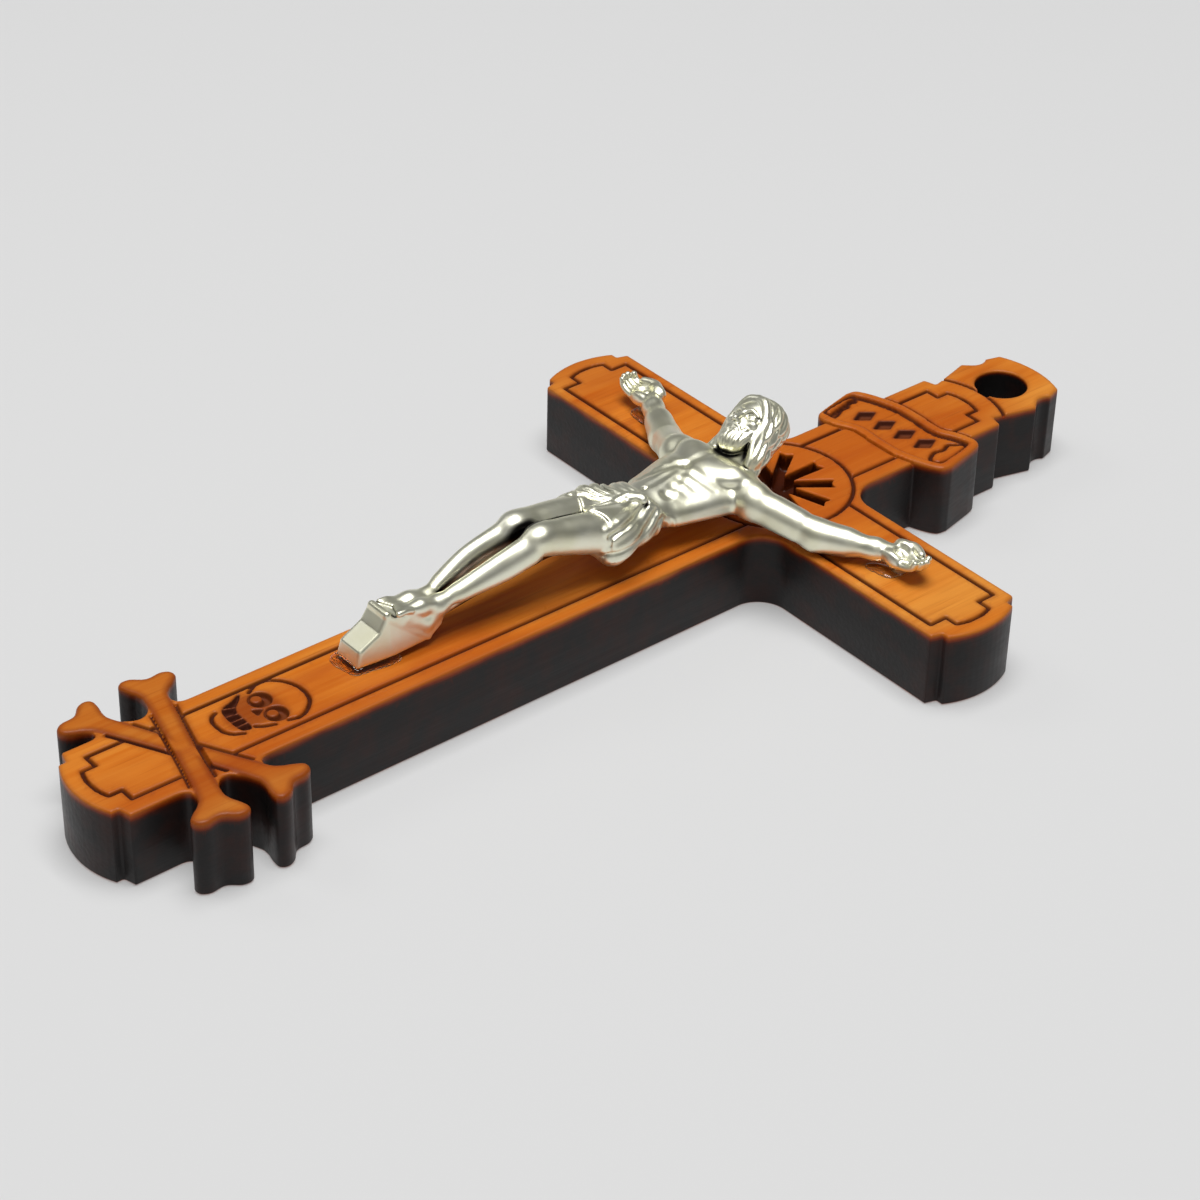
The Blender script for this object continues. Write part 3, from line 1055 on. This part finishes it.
def castFigure():
    grain = figure["grain"]
    clay = newClay(figure["low"], figure["high"], grain)
    modelTrunk(clay)
    for side in (1, -1):
        modelArm(clay, side)
        modelLeg(clay, side)
    partLegs(clay)
    modelRest(clay)
    for side in (1, -1):
        modelFoot(clay, side)
    modelCloth(clay)
    modelHead(clay)
    clay["field"] = np.maximum(clay["field"], figure["standOff"] - clay["axes"][2])
    points, quads = surfaceNet(clay["field"], clay["axes"])
    print("figure skin", len(points), "points")
    piece = newPiece("cast_figure", points + figureSpot, quads)
    thin(piece, figure["faceCount"])
    shadeSmooth(piece)
    setTone(piece, "recess", recessOf(piece, clay))
    return piece, clay


patina = {  # how dark a hollow gets: reach in mm and weight; and the band between the shins
    "reaches": ((0.25, 0.4), (0.55, 0.35), (1.1, 0.25)),
    "farShin": (0.3, 1.1), "nearShin": (0.15, 0.55), "ankleEnd": (-33.4, -32.4), "kneeEnd": (-22.6, -24.4),
    "share": 0.8,
}


def recessOf(piece, clay):  # how far each spot lies in a hollow
    places = vertexPlaces(piece) - figureSpot
    normals = np.empty(len(piece.data.vertices) * 3, np.float32)
    piece.data.vertex_normals.foreach_get("vector", normals)
    normals = normals.reshape(-1, 3)
    total = np.zeros(len(places))
    for reach, weight in patina["reaches"]:
        total += weight * np.clip(1 - readClay(clay, places + normals * reach) / reach, 0, 1)
    x, y = places[:, 0], places[:, 1]
    shinX = []
    for number in (0, 1):
        joints = [figure[name][number] for name in ("ankles", "shins", "knees")]
        shinX.append(np.interp(y, [joint[1] for joint in joints], [joint[0] for joint in joints]))
    inner = ease(*patina["farShin"], x - shinX[0]) * ease(*patina["nearShin"], shinX[1] - x)
    inner = inner * ease(*patina["ankleEnd"], y) * ease(*patina["kneeEnd"], y)
    return np.maximum(total, patina["share"] * inner)


# Glue: clear drops under the hands and round the footrest

glue = {  # drops as radii
    "gap": 0.02, "handSpot": (14.5, -1.15), "handDrop": (1.15, 0.75, 0.3), "handLobe": (0.7, 0.55, 0.22),
    "lobeSpots": ((-0.9, -0.35), (0.6, 0.7)), "lobeSoft": 0.3,
    "footBack": -37.7, "footToe": 0.1, "footCorner": 0.9, "footRim": 0.62,
    "footRise": 0.72, "footRound": 0.12,
}


def glueDrop(name, clay, at, around, shape):  # a drop stops at the board and at the casting
    shape = np.maximum(shape, glue["gap"] - around[2])
    shape = np.maximum(shape, glue["gap"] - clay["field"][at])
    points, quads = surfaceNet(shape, [axis.ravel() for axis in around])
    piece = newPiece(name, points + figureSpot, quads)
    shadeSmooth(piece)
    return piece


def handGlue(clay, side, name):
    x, y = side * glue["handSpot"][0], glue["handSpot"][1]
    at, around = clayNear(clay, [(x, y, 0)], 3.0)
    drop = ballField(around, (x, y, 0), glue["handDrop"], None)
    for out, up in glue["lobeSpots"]:
        lobe = ballField(around, (x + out * side, y + up, 0), glue["handLobe"], None)
        drop = softMin(drop, lobe, glue["lobeSoft"])
    return glueDrop(name, clay, at, around, drop)


def footGlue(clay):
    half, mid = footrest["toe"]
    toeY, corner = footrest["wedge"][-1][0], glue["footCorner"]
    at, around = clayNear(clay, [(mid, glue["footBack"], 0), (mid, toeY, 0)], 2.9)
    x, y, h = around
    out = softMax(np.abs(x - mid) - half, y - glue["footBack"], corner)
    out = softMax(out, toeY - glue["footToe"] - y, corner)
    rim = glue["footRim"] + 0.12 * np.sin(1.3 * y + 0.8 * x) + 0.08 * np.sin(1.9 * x - y)  # uneven edge
    top = glue["footRise"] * np.clip(1 - out / rim, 0, 1) ** 0.8
    return glueDrop("foot_glue_drop", clay, at, around, softMax(out - rim, h - top, glue["footRound"]))


# Materials

def newMaterial(name):
    material = bpy.data.materials.new(name)
    material.use_nodes = True
    tree = material.node_tree
    shader = tree.nodes["Principled BSDF"]
    return material, tree, shader


def noise(tree, scale, detail, stretch=(1, 1, 1), rough=0.55):
    place = tree.nodes.new("ShaderNodeTexCoord")
    squeeze = tree.nodes.new("ShaderNodeMapping")
    squeeze.inputs["Scale"].default_value = stretch
    cloud = tree.nodes.new("ShaderNodeTexNoise")
    cloud.inputs["Scale"].default_value = scale
    cloud.inputs["Detail"].default_value = detail
    cloud.inputs["Roughness"].default_value = rough
    tree.links.new(place.outputs["Object"], squeeze.inputs["Vector"])
    tree.links.new(squeeze.outputs["Vector"], cloud.inputs["Vector"])
    return cloud.outputs["Fac"]


def ramp(tree, source, stops):
    band = tree.nodes.new("ShaderNodeValToRGB")
    while len(band.color_ramp.elements) < len(stops):
        band.color_ramp.elements.new(0.5)
    for element, (place, colour) in zip(band.color_ramp.elements, stops):
        element.position = place
        element.color = (*colour, 1)
    tree.links.new(source, band.inputs["Fac"])
    return band.outputs["Color"]


def fade(tree, source, low, high, top=1.0):  # nothing at low, rising to top at high
    return ramp(tree, source, [(low, (0, 0, 0)), (high, (top, top, top))])


def tone(tree, name):
    reader = tree.nodes.new("ShaderNodeAttribute")
    reader.attribute_name = name
    return reader.outputs["Fac"]


def calculate(tree, operation, *values, clamp=False):
    node = tree.nodes.new("ShaderNodeMath")
    node.operation = operation
    node.use_clamp = clamp
    for socket, value in zip(node.inputs, values):
        if isinstance(value, (int, float)):
            socket.default_value = value
        else:
            tree.links.new(value, socket)
    return node.outputs["Value"]


def mixColour(tree, factor, a, b, blend="MIX"):
    node = tree.nodes.new("ShaderNodeMix")
    node.data_type = "RGBA"
    node.blend_type = blend
    factorSocket, aSocket, bSocket = node.inputs[0], node.inputs[6], node.inputs[7]
    for socket, value in ((factorSocket, factor), (aSocket, a), (bSocket, b)):
        if isinstance(value, (int, float)):
            socket.default_value = value
        elif isinstance(value, tuple):
            socket.default_value = (*value, 1)
        else:
            tree.links.new(value, socket)
    return node.outputs[2]


def finishOf(tree, shader, look, colour, roughness):  # colour, sheen and fine surface of a material
    tree.links.new(colour, shader.inputs["Base Color"])
    tree.links.new(roughness, shader.inputs["Roughness"])
    if "bump" in look:
        cloud, strength, depth = look["bump"]
        node = tree.nodes.new("ShaderNodeBump")
        node.inputs["Strength"].default_value = strength
        node.inputs["Distance"].default_value = depth * mm
        tree.links.new(noise(tree, *cloud), node.inputs["Height"])
        tree.links.new(node.outputs["Normal"], shader.inputs["Normal"])


def clouded(tree, look):  # roughness that varies a little with a noise
    cloud, spread, shift = look["sheen"]
    return calculate(tree, "MULTIPLY_ADD", noise(tree, *cloud), spread, look["roughness"] - shift)


woodFibres = (2600, 3, (1, 0.035, 1))  # scale, detail and stretch of a noise, and so for other clouds
woodLook = {
    "pale": (0.70, 0.265, 0.036), "warm": (0.61, 0.165, 0.010), "red": (0.43, 0.078, 0.003),
    "toasted": (0.20, 0.027, 0.0015), "groove": (0.060, 0.010, 0.002), "pore": (0.6, 0.5, 0.42),
    "scorch": (0.26, 0.036, 0.002), "ember": (0.075, 0.012, 0.004), "char": (0.014, 0.012, 0.012),
    "bands": (230, 3, (1, 0.10, 1)), "bandStops": (0.30, 0.45, 0.66),
    "fibres": woodFibres, "fibreStops": (0.3, 0.62), "fibreShare": 0.22,
    "blotches": (75, 3, (1, 0.55, 1)), "blotchFade": (0.47, 0.62, 0.6),
    "pores": (5200, 2, (1, 0.02, 1)), "poreStops": (0.60, 0.74), "poreShare": 0.5,
    "ragged": (260, 4, (1, 1, 0.6), 0.5), "raggedSpread": 0.7,
    "raggedPart": [(0.0, (0, 0, 0)), (0.25, (1, 1, 1)), (0.7, (1, 1, 1)), (1.0, (0.15, 0.15, 0.15))],
    "sootClouds": (420, 4), "sootFade": (0.42, 0.72, 0.3),
    "scorchFade": (0.05, 0.34), "emberFade": (0.28, 0.58), "charFade": (0.48, 0.85),
    "rimShare": 0.2, "grooveDull": 0.85, "gloss": 0.2,
    "roughness": 0.40, "sheen": (woodFibres, 0.18, 0.09), "bump": (woodFibres, 0.25, 0.08),
}


def stainedWood():
    material, tree, shader = newMaterial("stained_wood")
    red, warm, pale = (woodLook[name] for name in ("red", "warm", "pale"))
    cloud = lambda name: noise(tree, *woodLook[name])
    base = ramp(tree, cloud("bands"), list(zip(woodLook["bandStops"], (red, warm, pale))))
    fibres = ramp(tree, cloud("fibres"), list(zip(woodLook["fibreStops"], (red, pale))))
    base = mixColour(tree, woodLook["fibreShare"], base, fibres)
    base = mixColour(tree, fade(tree, cloud("blotches"), *woodLook["blotchFade"]), base, red)
    pores = ramp(tree, cloud("pores"), list(zip(woodLook["poreStops"], ((1, 1, 1), woodLook["pore"]))))
    base = mixColour(tree, woodLook["poreShare"], base, pores, "MULTIPLY")
    rim = calculate(tree, "MULTIPLY", tone(tree, "rim"), woodLook["rimShare"])
    base = mixColour(tree, rim, base, pale)
    base = mixColour(tree, tone(tree, "toasted"), base, woodLook["toasted"])
    base = mixColour(tree, tone(tree, "engraved"), base, woodLook["groove"])

    burnt, spread = tone(tree, "burnt"), woodLook["raggedSpread"]  # charred walls with a ragged upper edge
    ragged = calculate(tree, "MULTIPLY_ADD", cloud("ragged"), spread, -spread / 2)
    ragged = calculate(tree, "MULTIPLY", ragged, ramp(tree, burnt, woodLook["raggedPart"]))
    burnt = calculate(tree, "ADD", burnt, ragged, clamp=True)
    sooty = fade(tree, cloud("sootClouds"), *woodLook["sootFade"])
    soot = mixColour(tree, sooty, woodLook["char"], woodLook["ember"])
    stages = {"scorchFade": woodLook["scorch"], "emberFade": woodLook["ember"], "charFade": soot}
    for name, colour in stages.items():
        base = mixColour(tree, fade(tree, burnt, *woodLook[name]), base, colour)
    base = mixColour(tree, tone(tree, "pit"), base, woodLook["groove"])

    grooveDull = calculate(tree, "MULTIPLY", tone(tree, "engraved"), woodLook["grooveDull"])
    finishOf(tree, shader, woodLook, base, calculate(tree, "MAXIMUM", clouded(tree, woodLook), grooveDull))
    shader.inputs["Specular IOR Level"].default_value = woodLook["gloss"]
    return material


metalLook = {
    "bright": (0.94, 0.93, 0.77), "warm": (0.86, 0.845, 0.64), "tarnish": (0.035, 0.033, 0.030),
    "clouds": (300, 3), "cloudStops": (0.35, 0.65), "tarnishFade": (0.44, 0.78),
    "roughness": 0.40, "sheen": ((700, 3), 0.12, 0.06), "bump": ((1500, 3), 0.10, 0.04),
}


def castMetal():
    material, tree, shader = newMaterial("cast_metal")
    stops = list(zip(metalLook["cloudStops"], (metalLook["warm"], metalLook["bright"])))
    base = ramp(tree, noise(tree, *metalLook["clouds"]), stops)
    hollow = fade(tree, tone(tree, "recess"), *metalLook["tarnishFade"])
    base = mixColour(tree, hollow, base, metalLook["tarnish"])
    finishOf(tree, shader, metalLook, base, clouded(tree, metalLook))
    shader.inputs["Metallic"].default_value = 1.0
    return material


glueLook = {
    "clear": (0.97, 0.87, 0.66), "cloudy": (0.90, 0.78, 0.56), "clouds": (900, 2), "cloudStops": (0.4, 0.7),
    "roughness": 0.10, "sheen": ((1600, 2), 0.1, 0.04), "bend": 1.16, "coatRoughness": 0.05,
}


def clearGlue():
    material, tree, shader = newMaterial("clear_glue")
    stops = list(zip(glueLook["cloudStops"], (glueLook["clear"], glueLook["cloudy"])))
    base = ramp(tree, noise(tree, *glueLook["clouds"]), stops)
    finishOf(tree, shader, glueLook, base, clouded(tree, glueLook))
    shader.inputs["Transmission Weight"].default_value = 1.0
    shader.inputs["IOR"].default_value = glueLook["bend"]
    shader.inputs["Coat Weight"].default_value = 1.0
    shader.inputs["Coat Roughness"].default_value = glueLook["coatRoughness"]
    return material


# Stage: floor, lights and camera

stageLook = {  # metres and watts; lamps aim at the middle of the board
    "floor": (0.43, 0.43, 0.429), "floorGlow": 0.255, "floorSize": 3.0, "floorRoughness": 0.9,
    "floorGloss": 0.1,
    "room": [(0.0, (0.40, 0.404, 0.408)), (0.15, (0.30, 0.303, 0.306)),
             (0.35, (0.08, 0.081, 0.082)), (1.0, (0.07, 0.071, 0.072))],
    "lamps": {
        "overhead": {"place": (0.02, 0.0, 0.60), "size": (0.36, 0.36), "power": 3.85},
        "front_card": {"place": (0.347, -0.292, 0.31), "size": (0.40, 0.30), "power": 0.09},
        "left_card": {"place": (-0.40, -0.17, 0.46), "size": (0.22, 0.22), "power": 0.26},
    },
}


def plainFloor():
    half = stageLook["floorSize"] / 2
    mesh = bpy.data.meshes.new("floor")
    corners = [(-half, -half, 0), (half, -half, 0), (half, half, 0), (-half, half, 0)]
    mesh.from_pydata(corners, [], [(0, 1, 2, 3)])
    floor = bpy.data.objects.new("floor", mesh)
    floor.location.z = (backZ - 0.02) * mm  # a hair under the board
    bpy.context.scene.collection.objects.link(floor)
    material, tree, shader = newMaterial("pale_paper")
    shader.inputs["Base Color"].default_value = (*stageLook["floor"], 1)
    shader.inputs["Roughness"].default_value = stageLook["floorRoughness"]
    shader.inputs["Specular IOR Level"].default_value = stageLook["floorGloss"]
    shader.inputs["Emission Color"].default_value = (1, 1, 1, 1)
    shader.inputs["Emission Strength"].default_value = stageLook["floorGlow"]
    mesh.materials.append(material)


def softbox(name, place, size, power):
    lamp = bpy.data.lights.new(name, "AREA")
    lamp.shape = "RECTANGLE"
    lamp.size, lamp.size_y = size
    lamp.energy = power
    light = bpy.data.objects.new(name, lamp)
    bpy.context.scene.collection.objects.link(light)
    light.location = place
    light.rotation_euler = Matrix(frameTowards(np.array(place))).to_euler()


def frameTowards(back):  # axes of a lamp whose +Z points back along the line of light
    z = back / np.linalg.norm(back)
    x = np.cross((0, 1, 0.01), z)
    x /= np.linalg.norm(x)
    y = np.cross(z, x)
    return np.stack([x, y, z], 1).tolist()


def studioLight():  # a dim room with a bright skyline, a soft box overhead and two pale cards
    world = bpy.data.worlds.new("studio")
    world.use_nodes = True
    tree = world.node_tree
    place = tree.nodes.new("ShaderNodeTexCoord")
    split = tree.nodes.new("ShaderNodeSeparateXYZ")
    tree.links.new(place.outputs["Generated"], split.inputs["Vector"])
    room = ramp(tree, split.outputs["Z"], stageLook["room"])
    tree.links.new(room, tree.nodes["Background"].inputs["Color"])
    bpy.context.scene.world = world
    for name, lamp in stageLook["lamps"].items():
        softbox(name, lamp["place"], lamp["size"], lamp["power"])
    bpy.context.scene.view_settings.view_transform = "Standard"


cameraSpot = {  # millimetres
    "place": (157.60, -133.67, 144.36),
    "right": (0.635423, 0.771897, 0.020330),
    "down": (0.447570, -0.346728, -0.824294),
    "forward": (-0.629222, 0.532874, -0.565796),
    "lens": 96.95, "sensor": 36.0,
}


def photoCamera():
    data = bpy.data.cameras.new("camera")
    data.lens, data.sensor_width, data.sensor_fit = cameraSpot["lens"], cameraSpot["sensor"], "HORIZONTAL"
    data.clip_start, data.clip_end = 0.01, 20
    camera = bpy.data.objects.new("camera", data)
    bpy.context.scene.collection.objects.link(camera)
    right, down, forward = (np.array(cameraSpot[k]) for k in ("right", "down", "forward"))
    turn = np.eye(4)
    turn[:3, 0], turn[:3, 1], turn[:3, 2] = right, -down, -forward
    turn[:3, 3] = np.array(cameraSpot["place"]) * mm
    camera.matrix_world = Matrix(turn.tolist())
    bpy.context.scene.camera = camera


woodenCross = makeBoard()
woodenCross.data.materials.append(stainedWood())
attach(woodenCross, "root")
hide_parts("cross_board")
print("board done")

castCorpus, clay = castFigure()
castCorpus.data.materials.append(castMetal())
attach(castCorpus, "root")
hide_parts("corpus")
print("figure done")

glueMaterial = clearGlue()
glueDrops = {
    "right_hand_glue": handGlue(clay, -1, "right_hand_glue_drop"),
    "left_hand_glue": handGlue(clay, 1, "left_hand_glue_drop"),
    "foot_glue": footGlue(clay),
}
for node, drop in glueDrops.items():
    drop.data.materials.append(glueMaterial)
    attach(drop, "root")
    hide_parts(node)
print("glue done")

plainFloor()
studioLight()
photoCamera()
print("stage done")
